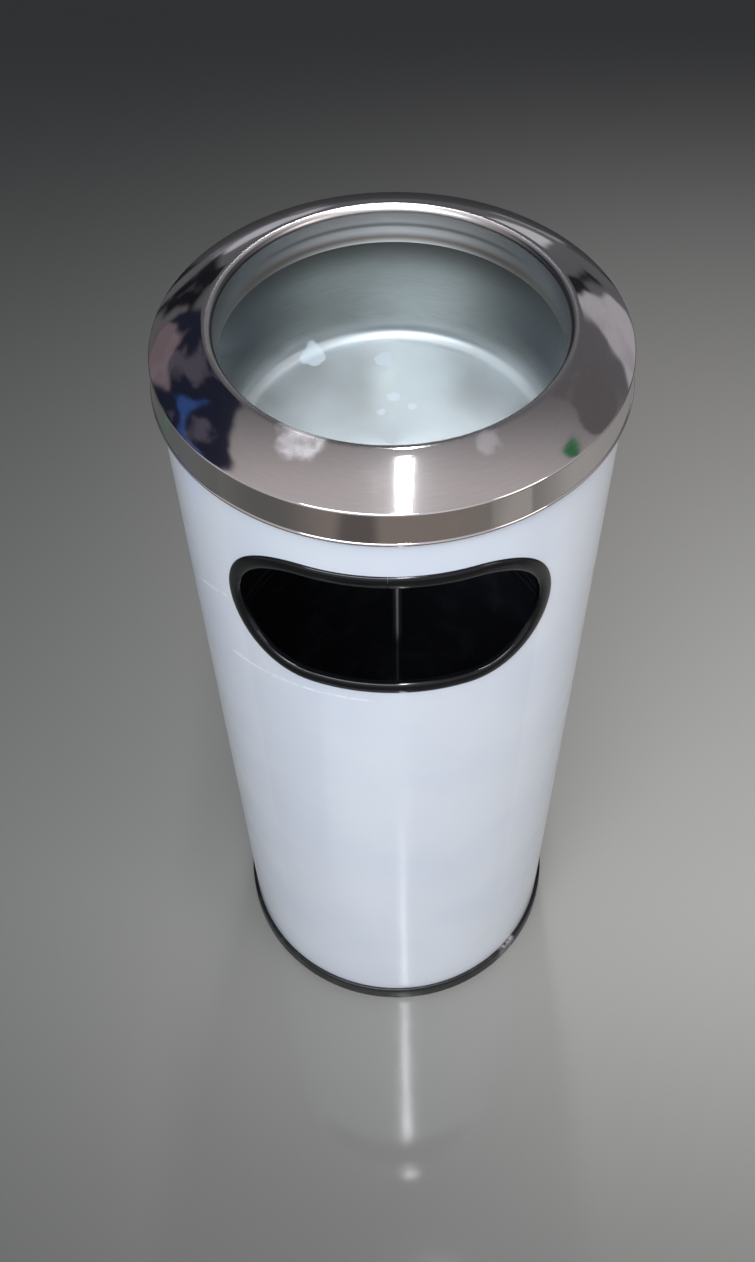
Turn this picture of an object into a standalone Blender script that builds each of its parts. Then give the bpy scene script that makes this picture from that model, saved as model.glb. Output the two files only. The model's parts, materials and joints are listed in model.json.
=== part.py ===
"""Free-standing ashtray bin: a painted steel tube on a black base ring, with a side opening in a black
edge trim, a black steel liner with a bail handle, an ash bowl and a polished lid ring.

The frame has its origin at the centre of the base, +Z up, and the opening faces -Y.
"""

import math

import bmesh
import bpy
from mathutils import Matrix, Vector

MM = 0.001
SEGMENTS = 48  # flats round each large turned piece

# Driving dimensions, in millimetres.
TOTAL_HEIGHT = 610.0
BODY_RADIUS = 124.0
BODY_SHEET = 0.8

# Base ring, a moulding with a channel that takes the tube's lower edge.
RING_RADIUS = 127.2
RING_HEIGHT = 14.0
RING_FLOOR = 3.0
RING_INNER_RADIUS = 96.0
CHANNEL_DEPTH = 9.0
CHANNEL_GAP = 0.3
RING_INNER_WALL = 119.5

# Base plate and the screws that hold it to the ring.
PLATE_RADIUS = 118.9
PLATE_SHEET = 1.0
PLATE_RISE = 4.0
PLATE_STEP_RADIUS = 88.0
SCREW_CIRCLE = 106.0
SCREW_RADIUS = 1.75
SCREW_HEAD_RADIUS = 4.2
SCREW_HEAD_TOP = 2.2
SCREW_TOP = 8.8
HOLE_GAP = 0.35

# Tube.
BODY_BOTTOM = RING_HEIGHT - CHANNEL_DEPTH + CHANNEL_GAP
BODY_TOP = 596.4
TOP_BEND = 2.0
HEM_BEND = 1.2
HEM_RADIUS = 119.6
HEM_BOTTOM = 592.6

# Opening, a slot with round ends measured along the tube's skin, and its edge trim.
SLOT_HALF_LENGTH = 88.5
SLOT_HALF_HEIGHT = 44.5
SLOT_CENTRE = 500.5
SLOT_STRAIGHT_STEPS = 8
SLOT_END_STEPS = 12
TRIM_OUTER_LIP = (2.0, 4.9, 2.6)  # centre along the skin, half width, height off the sheet
TRIM_INNER_LIP = (1.3, 4.2, 1.8)
TRIM_CHANNEL = 0.75  # half width
TRIM_WEB = -0.45
CUTTER_SKINS = (119.5, 128.0)
CUTTER_CAPS = (60.0, 150.0)

# Liner.
LINER_RADIUS = 112.0
LINER_SHEET = 0.6
LINER_FOOT = 4.7
LINER_TOP = 385.0
LINER_BEAD = 2.3
LINER_BEAD_CENTRE = 113.4
LINER_FLOOR = 10.8
LINER_FLOOR_RADIUS = 110.9
SEAM_HALF_WIDTH_DEG = 2.6

# Bail handle, its ears and their rivets. The pivot axis runs along X.
WIRE_RADIUS = 2.0
BAIL_RADIUS = 113.0
PIVOT_HEIGHT = 391.0
GRIP_RADIUS = 5.5
GRIP_BORE = 2.5
GRIP_HALF_ANGLE = 20.0
EAR_INNER = 108.5
EAR_SHEET = 1.5
EAR_HALF_WIDTH = 11.0
EAR_FOOT = 350.0
HOOK_INNER = 104.0
HOOK_DROP = 6.0
WIRE_BEND = 3.0
RIVET_HEIGHTS = {"lower": 358.0, "upper": 372.0}
RIVET_SHANK = 1.9
RIVET_HEAD = 3.8
RIVET_HEAD_HEIGHT = 1.4

# Lid ring.
CREASE_CENTRE = (124.0, 595.4)
CREASE_BEND = 1.6
LIP_RADIUS = 91.5
LIP_BEND = 4.0
DOME_BULGE = 0.95
CREASE_TURN = 59.0
LIP_START = 73.0
SKIRT_BEAD_CENTRE = (126.3, 577.2)
SKIRT_BEAD = 1.2
COLLAR_BEAD_CENTRE = (92.5, 587.4)
COLLAR_BEAD = 1.0

# Ash bowl.
BOWL_FLANGE_RADIUS = 121.2
BOWL_FLANGE_TOP = 597.6
BOWL_SHEET = 0.8
BOWL_MOUTH_RADIUS = 98.0
BOWL_MOUTH_BEND = 3.0
BOWL_FLOOR_RADIUS = 94.6
BOWL_FLOOR = 518.0
BOWL_FILLET = 9.0


def clear_scene():
    for obj in list(bpy.data.objects):
        bpy.data.objects.remove(obj)


def material(name, colour, roughness, metallic):
    made = bpy.data.materials.new(name)
    made.use_nodes = True
    shader = made.node_tree.nodes["Principled BSDF"]
    shader.inputs["Base Color"].default_value = (*colour, 1.0)
    shader.inputs["Roughness"].default_value = roughness
    shader.inputs["Metallic"].default_value = metallic
    return made


def object_from(bm, name, finish=None, parent=None):
    """Turns a bmesh in millimetres into a smooth-shaded object in metres."""
    bmesh.ops.remove_doubles(bm, verts=bm.verts, dist=0.001)
    bmesh.ops.recalc_face_normals(bm, faces=bm.faces)
    bmesh.ops.scale(bm, vec=(MM, MM, MM), verts=bm.verts)
    mesh = bpy.data.meshes.new(name)
    bm.to_mesh(mesh)
    bm.free()
    mesh.shade_smooth()
    mesh.set_sharp_from_angle(angle=math.radians(30))
    obj = bpy.data.objects.new(name, mesh)
    bpy.context.scene.collection.objects.link(obj)
    if finish:
        mesh.materials.append(finish)
    obj.parent = parent
    return obj


def helper(obj):
    """Marks a cutter, or a shape that is joined to another, as no part of the bin."""
    obj.hide_render = True
    obj.display_type = "WIRE"
    return obj


def boolean(target, other, operation):
    modifier = target.modifiers.new(other.name, "BOOLEAN")
    modifier.object = other
    modifier.operation = operation
    modifier.solver = "EXACT"


def arc(centre, radius, start, end, steps):
    """Points on a circle from one angle to another, in degrees, both ends included."""
    angles = [math.radians(start + (end - start) * i / steps) for i in range(steps + 1)]
    return [(centre[0] + radius * math.cos(a), centre[1] + radius * math.sin(a)) for a in angles]


def bulge(first, last, sagitta, steps):
    """Points between two others on a shallow arc, on the right of the way from first to last."""
    along = Vector(last) - Vector(first)
    side = Vector((along.y, -along.x)).normalized()
    points = []
    for i in range(1, steps):
        share = i / steps
        height = 4.0 * sagitta * share * (1.0 - share)
        points.append(tuple(Vector(first) + along * share + side * height))
    return points


def turned(name, outline, finish=None, parent=None, at=(0.0, 0.0), sides=SEGMENTS):
    """A solid of revolution about an upright line from a closed outline of (radius, height) points."""
    bm = bmesh.new()
    verts = [bm.verts.new((radius, 0.0, height)) for radius, height in outline]
    edges = []
    for first, second in zip(verts, verts[1:] + verts[:1]):
        if first.co.x > 0.0 or second.co.x > 0.0:
            edges.append(bm.edges.new((first, second)))
    bmesh.ops.spin(
        bm,
        geom=verts + edges,
        cent=(0.0, 0.0, 0.0),
        axis=(0.0, 0.0, 1.0),
        angle=math.tau,
        steps=sides,
        use_merge=True,
    )
    bmesh.ops.translate(bm, vec=(*at, 0.0), verts=bm.verts)
    return object_from(bm, name, finish, parent)


def loft(name, rings, finish=None, parent=None, closed=False):
    """Joins rings of points, each to the next. Open lofts get a flat face on each end."""
    bm = bmesh.new()
    made = [[bm.verts.new(point) for point in ring] for ring in rings]
    pairs = list(zip(made, made[1:]))
    if closed:
        pairs.append((made[-1], made[0]))
    else:
        bm.faces.new(made[0])
        bm.faces.new(made[-1])
    for first, second in pairs:
        for i in range(len(first)):
            j = (i + 1) % len(first)
            bm.faces.new((first[i], first[j], second[j], second[i]))
    return object_from(bm, name, finish, parent)


def round_bar(name, radius, start, end, sides=16, finish=None, parent=None):
    """A cylinder between two points."""
    axis = Vector(end) - Vector(start)
    bm = bmesh.new()
    bmesh.ops.create_cone(
        bm, cap_ends=True, segments=sides, radius1=radius, radius2=radius, depth=axis.length
    )
    turn = Vector((0.0, 0.0, 1.0)).rotation_difference(axis).to_matrix().to_4x4()
    place = Matrix.Translation((Vector(start) + Vector(end)) / 2) @ turn
    bmesh.ops.transform(bm, matrix=place, verts=bm.verts)
    return object_from(bm, name, finish, parent)


def on_skin(along, height, radius):
    """A point beside the opening: along is measured round the tube's skin from the front."""
    angle = along / BODY_RADIUS
    return (radius * math.sin(angle), -radius * math.cos(angle), height)


def slot_path():
    """The opening's edge as (along, height, outward direction) going once round it."""
    reach = SLOT_HALF_LENGTH - SLOT_HALF_HEIGHT
    path = []
    for side in (1, -1):
        for i in range(SLOT_STRAIGHT_STEPS):
            along = side * reach * (2.0 * i / SLOT_STRAIGHT_STEPS - 1.0)
            path.append((along, SLOT_CENTRE - side * SLOT_HALF_HEIGHT, (0.0, -float(side))))
        for i in range(SLOT_END_STEPS):
            angle = math.radians(-90.0 * side + 180.0 * i / SLOT_END_STEPS)
            out = (math.cos(angle), math.sin(angle))
            along = side * reach + SLOT_HALF_HEIGHT * out[0]
            path.append((along, SLOT_CENTRE + SLOT_HALF_HEIGHT * out[1], out))
    return path


def make_base(plastic, zinc):
    """Base ring, base plate and four screws that come up through the ring into the plate."""
    lip = BODY_RADIUS + CHANNEL_GAP
    root = BODY_RADIUS - BODY_SHEET - CHANNEL_GAP
    channel_floor = RING_HEIGHT - CHANNEL_DEPTH
    outline = [(RING_INNER_RADIUS, 0.0), (RING_RADIUS - 0.8, 0.0), (RING_RADIUS, 0.8)]
    outline += arc((RING_RADIUS - 2.1, RING_HEIGHT - 1.5), 1.5, 0, 90, 3)
    outline += [(lip, RING_HEIGHT), (lip, channel_floor), (root, channel_floor), (root, RING_HEIGHT)]
    outline += [(RING_INNER_WALL + 1.0, RING_HEIGHT), (RING_INNER_WALL, RING_HEIGHT - 1.0)]
    outline += [(RING_INNER_WALL, RING_FLOOR), (RING_INNER_RADIUS, RING_FLOOR)]
    ring = turned("base_ring", outline, plastic)

    low = RING_FLOOR + CHANNEL_GAP
    high = low + PLATE_RISE
    slope = PLATE_STEP_RADIUS + PLATE_RISE
    under = [(0.0, high), (PLATE_STEP_RADIUS - 0.4, high), (slope - 0.4, low), (PLATE_RADIUS, low)]
    over = [(radius, height + PLATE_SHEET) for radius, height in under[::-1]]
    over[1] = (slope, low + PLATE_SHEET)
    over[2] = (PLATE_STEP_RADIUS, high + PLATE_SHEET)
    plate = turned("base_plate", under + over, zinc)

    for corner in range(4):
        angle = math.radians(45.0 + 90.0 * corner)
        spot = (SCREW_CIRCLE * math.cos(angle), SCREW_CIRCLE * math.sin(angle))
        name = ("rear_right", "rear_left", "front_left", "front_right")[corner]
        hole = screw_outline(HOLE_GAP)
        hole = [(0.0, SCREW_TOP + 1.0), (hole[2][0], SCREW_TOP + 1.0)] + hole[3:5]
        hole += [(SCREW_HEAD_RADIUS + HOLE_GAP, -2.0), (0.0, -2.0)]
        cutter = helper(turned(f"screw_hole_{name}", hole, at=spot, sides=14))
        boolean(ring, cutter, "DIFFERENCE")
        boolean(plate, cutter, "DIFFERENCE")
        turned(f"base_screw_{name}", screw_outline(0.0), zinc, at=spot, sides=14)


def screw_outline(gap):
    """A pan-head screw standing on its head, or the outline a gap outside it."""
    shank, head = SCREW_RADIUS + gap, SCREW_HEAD_RADIUS + gap
    under = SCREW_HEAD_TOP + gap
    outline = [(0.0, SCREW_TOP), (shank - 1.2, SCREW_TOP), (shank, SCREW_TOP - 1.6)]
    outline += [(shank, under), (head, under)]
    outline += [(head, 1.4), (head - 1.2, 0.5), (0.0, 0.5)]
    return outline


def seam_strip(name, inner, outer, bottom, top):
    """A lap seam's second layer of sheet: a curved strip at the back, on the inside of a rolled wall."""
    rings = []
    for step in range(3):
        angle = math.radians(90.0 + SEAM_HALF_WIDTH_DEG * (step - 1))
        corners = ((inner, bottom), (outer, bottom), (outer, top), (inner, top))
        rings.append([(r * math.cos(angle), r * math.sin(angle), z) for r, z in corners])
    return helper(loft(name, rings))


def slot_cutter():
    """A block whose sides run along the tube's radii, from inside the wall to outside it."""
    path = slot_path()
    rings = [[on_skin(along, height, radius) for along, height, _ in path] for radius in CUTTER_SKINS]
    near, far = (
        [(depth * math.tan(along / BODY_RADIUS), -depth, height) for along, height, _ in path]
        for depth in CUTTER_CAPS
    )
    return helper(loft("slot_cutter", [near, *rings, far]))


def make_body(paint):
    """The rolled tube: its top edge turns inwards, and it laps over itself at the back."""
    inner = BODY_RADIUS - BODY_SHEET
    top_centre = (BODY_RADIUS - TOP_BEND, BODY_TOP - TOP_BEND)
    hem_centre = (HEM_RADIUS + HEM_BEND, BODY_TOP - HEM_BEND)
    outline = [(BODY_RADIUS, BODY_BOTTOM)] + arc(top_centre, TOP_BEND, 0, 90, 3)
    outline += arc(hem_centre, HEM_BEND, 90, 180, 2)
    outline += [(HEM_RADIUS, HEM_BOTTOM), (HEM_RADIUS + BODY_SHEET, HEM_BOTTOM)]
    outline += arc(hem_centre, HEM_BEND - BODY_SHEET, 180, 90, 2)
    outline += arc(top_centre, TOP_BEND - BODY_SHEET, 90, 0, 3)
    outline += [(inner, BODY_BOTTOM)]
    shell = turned("body_shell", outline, paint)
    seam = seam_strip("body_seam", inner - BODY_SHEET, inner + 0.4, 18.0, HEM_BOTTOM - 5.0)
    boolean(shell, seam, "UNION")
    boolean(shell, slot_cutter(), "DIFFERENCE")


def make_trim(plastic):
    """The edge trim: a lip outside the sheet, a lip inside it, and a channel between them."""
    middle = BODY_RADIUS - BODY_SHEET / 2
    centre, half, rise = TRIM_OUTER_LIP
    section = [
        (centre + half * c, TRIM_CHANNEL + rise * s) for c, s in arc((0.0, 0.0), 1.0, 0, 180, 7)
    ]
    centre, half, rise = TRIM_INNER_LIP
    section += [
        (centre + half * c, -TRIM_CHANNEL + rise * s) for c, s in arc((0.0, 0.0), 1.0, 180, 360, 5)
    ]
    section += [(TRIM_WEB, -TRIM_CHANNEL), (TRIM_WEB, TRIM_CHANNEL)]
    rings = []
    for along, height, out in slot_path():
        rings.append(
            [
                on_skin(along + off * out[0], height + off * out[1], middle + rise)
                for off, rise in section
            ]
        )
    loft("opening_trim", rings, plastic, closed=True)


def make_liner(paint, steel, plastic):
    """The liner pail: wall, bottom, two ears with two rivets each, and the bail handle."""
    inner = LINER_RADIUS - LINER_SHEET
    bead = (LINER_BEAD_CENTRE, LINER_TOP - LINER_BEAD)
    start = -180.0 + math.degrees(math.acos((bead[0] - LINER_RADIUS) / LINER_BEAD))
    end = 180.0 + math.degrees(math.acos((bead[0] - inner) / LINER_BEAD))
    outline = [(LINER_RADIUS, LINER_FOOT)] + arc(bead, LINER_BEAD, start, end, 7)
    outline += [(inner, LINER_FOOT)]
    wall = turned("liner_wall", outline, paint)
    seam = seam_strip("liner_seam", inner - LINER_SHEET, inner + 0.3, 14.0, LINER_TOP - 8.0)
    boolean(wall, seam, "UNION")

    bend = 1.0
    corner = (LINER_FLOOR_RADIUS - bend, LINER_FLOOR - bend)
    outline = [(LINER_FLOOR_RADIUS, LINER_FOOT + 0.5)] + arc(corner, bend, 0, 90, 2)
    outline += [(0.0, LINER_FLOOR), (0.0, LINER_FLOOR - LINER_SHEET)]
    outline += arc(corner, bend - LINER_SHEET, 90, 0, 1)
    outline += [(LINER_FLOOR_RADIUS - LINER_SHEET, LINER_FOOT + 0.5)]
    turned("liner_bottom", outline, paint)

    for side, word in ((1, "right"), (-1, "left")):
        ear = make_ear(f"liner_ear_{word}", side, steel)
        for level, height in RIVET_HEIGHTS.items():
            start, end = (side * 90.0, 0.0, height), (side * 130.0, 0.0, height)
            hole = helper(round_bar(f"rivet_hole_{word}_{level}", RIVET_SHANK + HOLE_GAP, start, end, 12))
            boolean(wall, hole, "DIFFERENCE")
            boolean(ear, hole, "DIFFERENCE")
            make_rivet(f"liner_rivet_{word}_{level}", side, height, steel)
    make_handle(steel, plastic)


def make_ear(name, side, finish):
    """A flat steel ear inside the wall: it stands above the rim and has the bail's hole."""
    rim = [(-EAR_HALF_WIDTH, EAR_FOOT), (EAR_HALF_WIDTH, EAR_FOOT)]
    rim += arc((0.0, PIVOT_HEIGHT - 5.0), EAR_HALF_WIDTH, 0, 180, 8)
    faces = (side * EAR_INNER, side * (EAR_INNER + EAR_SHEET))
    ear = loft(name, [[(x, y, z) for y, z in rim] for x in faces], finish)
    start, end = (side * 90.0, 0.0, PIVOT_HEIGHT), (side * 130.0, 0.0, PIVOT_HEIGHT)
    hole = helper(round_bar(f"{name}_hole", WIRE_RADIUS + HOLE_GAP, start, end, 12))
    boolean(ear, hole, "DIFFERENCE")
    return ear


def make_rivet(name, side, height, finish):
    """A rivet along X with a domed head on the inside and a flat one on the outside."""
    head_in = EAR_INNER - HOLE_GAP
    head_out = LINER_RADIUS + HOLE_GAP
    stations = [(head_in - RIVET_HEAD_HEIGHT, RIVET_HEAD * 0.45), (head_in - 0.5, RIVET_HEAD)]
    stations += [(head_in, RIVET_HEAD), (head_in, RIVET_SHANK), (head_out, RIVET_SHANK)]
    stations += [(head_out, RIVET_HEAD), (head_out + 0.8, RIVET_HEAD * 0.8)]
    rings = []
    for x, radius in stations:
        ring = [(side * x, y, height + z) for y, z in arc((0.0, 0.0), radius, 0, 330, 11)]
        rings.append(ring)
    loft(name, rings, finish)


def make_handle(steel, plastic):
    """The wire bail, lying on the rim towards the back, and the sleeve in its middle."""
    pivot = bpy.data.objects.new("handle_pivot", None)
    bpy.context.scene.collection.objects.link(pivot)
    pivot.location = (0.0, 0.0, PIVOT_HEIGHT * MM)

    turn = [
        (x, y, 0.0)
        for x, y in arc((BAIL_RADIUS - WIRE_BEND, WIRE_BEND), WIRE_BEND, -90, 0, 3)
    ]
    first = math.degrees(math.asin(WIRE_BEND / BAIL_RADIUS))
    bow = arc((0.0, 0.0), BAIL_RADIUS, first, 90.0, 14)
    hook = [(HOOK_INNER, 0.0, -HOOK_DROP), (HOOK_INNER, 0.0, -1.2), (HOOK_INNER + 1.2, 0.0, 0.0)]
    half = hook + turn + [(x, y, 0.0) for x, y in bow[1:]]
    points = half + [(-x, y, z) for x, y, z in half[-2::-1]]

    curve = bpy.data.curves.new("liner_handle", "CURVE")
    curve.dimensions = "3D"
    curve.bevel_depth = WIRE_RADIUS * MM
    curve.bevel_resolution = 1
    curve.use_fill_caps = True
    curve.materials.append(steel)
    spline = curve.splines.new("POLY")
    spline.points.add(len(points) - 1)
    for target, point in zip(spline.points, points):
        target.co = (*(MM * value for value in point), 1.0)
    wire = bpy.data.objects.new("liner_handle", curve)
    bpy.context.scene.collection.objects.link(wire)
    wire.parent = pivot

    rings = []
    steps = 8
    for i in range(steps + 1):
        angle = math.radians(90.0 - GRIP_HALF_ANGLE + 2.0 * GRIP_HALF_ANGLE * i / steps)
        rings.append(angle)
    make_grip(rings, plastic, pivot)


def make_grip(angles, plastic, pivot):
    """A thick sleeve bent to the bail's curve: an outer skin, a bore, and two flat ends."""
    bm = bmesh.new()
    skins = []
    for radius in (GRIP_RADIUS, GRIP_BORE):
        rings = []
        for angle in angles:
            ring = []
            for out, up in arc((BAIL_RADIUS, 0.0), radius, 0, 330, 11):
                ring.append(bm.verts.new((out * math.cos(angle), out * math.sin(angle), up)))
            rings.append(ring)
        skins.append(rings)
    count = len(skins[0][0])
    for rings in skins:
        for first, second in zip(rings, rings[1:]):
            for i in range(count):
                j = (i + 1) % count
                bm.faces.new((first[i], first[j], second[j], second[i]))
    for end in (0, -1):
        outer, bore = skins[0][end], skins[1][end]
        for i in range(count):
            j = (i + 1) % count
            bm.faces.new((outer[i], outer[j], bore[j], bore[i]))
    object_from(bm, "handle_grip", plastic, pivot)


def make_bowl(satin):
    """The drawn ash bowl: its flange lies on the tube's top edge, under the lid ring."""
    mouth = (BOWL_MOUTH_RADIUS + BOWL_MOUTH_BEND, BOWL_FLANGE_TOP - BOWL_MOUTH_BEND)
    foot = (BOWL_FLOOR_RADIUS - BOWL_FILLET, BOWL_FLOOR + BOWL_FILLET)
    outline = [(BOWL_FLANGE_RADIUS, BOWL_FLANGE_TOP)]
    outline += arc(mouth, BOWL_MOUTH_BEND, 90, 180, 3)
    outline += arc(foot, BOWL_FILLET, 0, -90, 5)
    outline += [(0.0, BOWL_FLOOR), (0.0, BOWL_FLOOR - BOWL_SHEET)]
    outline += arc(foot, BOWL_FILLET + BOWL_SHEET, -90, 0, 5)
    outline += arc(mouth, BOWL_MOUTH_BEND - BOWL_SHEET, 180, 90, 2)
    outline += [(BOWL_FLANGE_RADIUS, BOWL_FLANGE_TOP - BOWL_SHEET)]
    turned("ash_bowl", outline, satin)


def make_lid_ring(chrome):
    """The pressed ring: beaded skirt, crease, domed slope, rolled lip and beaded collar."""
    lip = (LIP_RADIUS + LIP_BEND, TOTAL_HEIGHT - LIP_BEND)
    outer = arc(CREASE_CENTRE, CREASE_BEND, 0, CREASE_TURN, 3)
    roll = arc(lip, LIP_BEND, LIP_START, 180, 6)
    outline = arc(SKIRT_BEAD_CENTRE, SKIRT_BEAD, 180, 425, 6)
    outline += outer + bulge(outer[-1], roll[0], DOME_BULGE, 4) + roll
    outline += arc(COLLAR_BEAD_CENTRE, COLLAR_BEAD, 180, 380, 4)
    inner_roll = arc(lip, LIP_BEND - BODY_SHEET, 180, LIP_START, 4)
    inner = arc(CREASE_CENTRE, CREASE_BEND - BODY_SHEET, CREASE_TURN, 0, 2)
    outline += [(LIP_RADIUS + BODY_SHEET, COLLAR_BEAD_CENTRE[1] + 1.2)]
    outline += inner_roll + bulge(inner_roll[-1], inner[0], -DOME_BULGE, 4) + inner
    turned("lid_ring", outline, chrome)


def main():
    clear_scene()
    black_plastic = material("moulded black plastic", (0.013, 0.014, 0.016), 0.38, 0.0)
    white_paint = material("white powder coat", (0.80, 0.81, 0.84), 0.22, 0.0)
    black_paint = material("black enamel", (0.010, 0.010, 0.012), 0.25, 0.0)
    zinc = material("zinc-plated steel", (0.55, 0.56, 0.57), 0.40, 1.0)
    polished = material("polished stainless steel", (0.78, 0.76, 0.75), 0.05, 1.0)
    satin = material("satin stainless steel", (0.62, 0.65, 0.67), 0.30, 1.0)
    make_base(black_plastic, zinc)
    make_body(white_paint)
    make_trim(black_plastic)
    make_liner(black_paint, zinc, black_plastic)
    make_bowl(satin)
    make_lid_ring(polished)


main()
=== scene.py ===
# %% [markdown]
# # A free-standing ashtray bin
#
# The real bin is a tube of rolled steel sheet, sprayed white, that stands in a black moulded
# ring. A slot in its side is edged with black plastic. A polished ring and a drawn ash bowl lift
# off its top, and a black pail with a bail handle stands inside it. This notebook rebuilds the
# pieces you can see, with smooth curves and real finishes, round the plain solids of the packed
# model.
#
# First we empty the scene, load those solids, and add a helper that measures the box a part fills.

# %% Load the imported model
import functools
import json
import math

import bmesh
import bpy
from mathutils import Matrix, Quaternion, Vector

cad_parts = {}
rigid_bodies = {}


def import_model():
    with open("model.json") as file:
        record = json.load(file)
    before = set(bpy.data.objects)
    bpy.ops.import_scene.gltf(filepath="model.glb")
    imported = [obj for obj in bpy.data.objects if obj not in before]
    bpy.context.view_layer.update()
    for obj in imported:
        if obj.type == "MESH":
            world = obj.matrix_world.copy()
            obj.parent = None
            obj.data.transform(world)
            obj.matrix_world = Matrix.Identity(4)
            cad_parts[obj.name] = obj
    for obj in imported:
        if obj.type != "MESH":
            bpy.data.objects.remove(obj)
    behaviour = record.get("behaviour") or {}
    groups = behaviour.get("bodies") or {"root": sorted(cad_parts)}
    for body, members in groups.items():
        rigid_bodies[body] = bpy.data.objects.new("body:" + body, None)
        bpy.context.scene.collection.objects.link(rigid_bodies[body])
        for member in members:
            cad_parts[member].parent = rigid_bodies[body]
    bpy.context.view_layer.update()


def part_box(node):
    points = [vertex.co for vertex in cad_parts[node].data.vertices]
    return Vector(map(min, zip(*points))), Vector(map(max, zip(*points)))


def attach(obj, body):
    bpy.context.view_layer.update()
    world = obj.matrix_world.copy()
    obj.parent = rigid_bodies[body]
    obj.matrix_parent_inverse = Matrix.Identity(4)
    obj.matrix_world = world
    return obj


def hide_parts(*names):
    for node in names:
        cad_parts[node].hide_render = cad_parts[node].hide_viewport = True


for leftover in list(bpy.data.objects):
    bpy.data.objects.remove(leftover)

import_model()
MM = 0.001

# %% [markdown]
# ## Shapes that are turned on an axis
#
# Nearly every piece of this bin is round, so one outline of radius and height describes it. You
# could draw the outline with a Screw modifier, but a small function that spins points gives a
# plain mesh at once, and can stop short of a full turn where sheet ends meet. Outlines are listed
# in millimetres, and their bends are arcs, because sheet metal never folds to a sharp corner.


# %% Helpers for outlines
def arc(centre, radius, start, end, steps):
    """Points on a circle between two angles in degrees, both ends included."""
    turns = [math.radians(start + (end - start) * i / steps) for i in range(steps + 1)]
    return [(centre[0] + radius * math.cos(t), centre[1] + radius * math.sin(t)) for t in turns]


def bulge(first, last, sagitta, steps):
    """Points between two others on a shallow arc that stands off to the right of the way."""
    along = Vector(last) - Vector(first)
    side = Vector((along.y, -along.x)).normalized()
    shares = [i / steps for i in range(1, steps)]
    return [tuple(Vector(first) + along * s + side * 4 * sagitta * s * (1 - s)) for s in shares]


def bridge(bm, rings):
    """Joins rings of points with faces, each ring to the next, and closes both ends."""
    for first, second in zip(rings, rings[1:]):
        for i in range(len(first)):
            j = (i + 1) % len(first)
            bm.faces.new((first[i], first[j], second[j], second[i]))
    bm.faces.new(rings[0])
    bm.faces.new(rings[-1])


# %% [markdown]
# Turned pieces share one finish: their normals are made consistent, their faces are smooth, and
# edges sharper than a given angle stay sharp.

# %% Helpers for turned pieces
def finish_mesh(bm, name, material=None, crease=35):
    """Makes an object from a bmesh that is in millimetres: doubles merged, faces out, smooth."""
    bmesh.ops.remove_doubles(bm, verts=bm.verts, dist=0.0005)
    bmesh.ops.recalc_face_normals(bm, faces=bm.faces)
    bmesh.ops.scale(bm, vec=(MM, MM, MM), verts=bm.verts)
    mesh = bpy.data.meshes.new(name)
    bm.to_mesh(mesh)
    bm.free()
    mesh.shade_smooth()
    mesh.set_sharp_from_angle(angle=math.radians(crease))
    piece = bpy.data.objects.new(name, mesh)
    bpy.context.scene.collection.objects.link(piece)
    if material:
        mesh.materials.append(material)
    return piece


def spun(outline, steps, gap=0.0):
    """A bmesh turned about Z from a closed outline. A gap, in degrees, is left open at the back."""
    bm = bmesh.new()
    start = math.radians(90 + gap / 2)
    verts = [bm.verts.new((r * math.cos(start), r * math.sin(start), z)) for r, z in outline]
    edges = []
    for i, (here, there) in enumerate(zip(outline, outline[1:] + outline[:1])):
        if here[0] > 0 or there[0] > 0:
            edges.append(bm.edges.new((verts[i], verts[(i + 1) % len(verts)])))
    made = bmesh.ops.spin(
        bm,
        geom=verts + edges,
        cent=(0, 0, 0),
        axis=(0, 0, 1),
        angle=math.radians(360 - gap),
        steps=steps,
        use_merge=gap == 0,
    )
    if gap:
        bm.faces.new(verts)
        bm.faces.new([item for item in made["geom_last"] if isinstance(item, bmesh.types.BMVert)])
    return bm


def turned(name, outline, material, steps=192, gap=0.0):
    return finish_mesh(spun(outline, steps, gap), name, material)


# %% [markdown]
# ## Colours and shader nodes
#
# Finishes are built from shader nodes. A paint chart gives colours as hex codes in sRGB, while
# the renderer works in linear light, so one function converts them. Another adds a node of any
# kind. It applies the settings first, because they decide which sockets are live, and then fills
# those sockets in order, so a recipe reads like a line of sums.


# %% Helpers for colours and nodes
def colour(code):
    """An sRGB hex code as linear red, green, blue and alpha."""
    parts = [int(code[i : i + 2], 16) / 255 for i in (1, 3, 5)]
    return (*[p / 12.92 if p <= 0.04045 else ((p + 0.055) / 1.055) ** 2.4 for p in parts], 1.0)


def plug(value, socket):
    """Sets a socket to a value, or links it to an output or to a node's first live output."""
    if isinstance(value, bpy.types.Node):
        value = next(output for output in value.outputs if output.enabled)
    if isinstance(value, bpy.types.NodeSocket):
        socket.id_data.links.new(value, socket)
    else:
        socket.default_value = value


def add(tree, kind, *values, named=None, **settings):
    """Adds a node and fills its live sockets in order, or by name. Short kinds are shader nodes."""
    made = tree.nodes.new(kind if "Node" in kind else f"ShaderNode{kind}")
    for key, value in settings.items():
        setattr(made, key, value)
    live = [socket for socket in made.inputs if socket.enabled]
    for socket, value in zip(live, values):
        plug(value, socket)
    for key, value in (named or {}).items():
        plug(value, made.inputs[key])
    return made


SMOOTH = {"interpolation_type": "SMOOTHSTEP"}  # a Map Range that eases in and out
BLEND = {"data_type": "RGBA"}  # a Mix of two colours


def lumps(size_mm):
    """The scale of a noise whose lumps are about size_mm across."""
    return 1 / (size_mm * MM)


def finish_shader(shader, **values):
    """Fills the shader's sockets by name, with _ for each space."""
    for key, value in values.items():
        plug(value, shader.inputs[key.replace("_", " ")])


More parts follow.
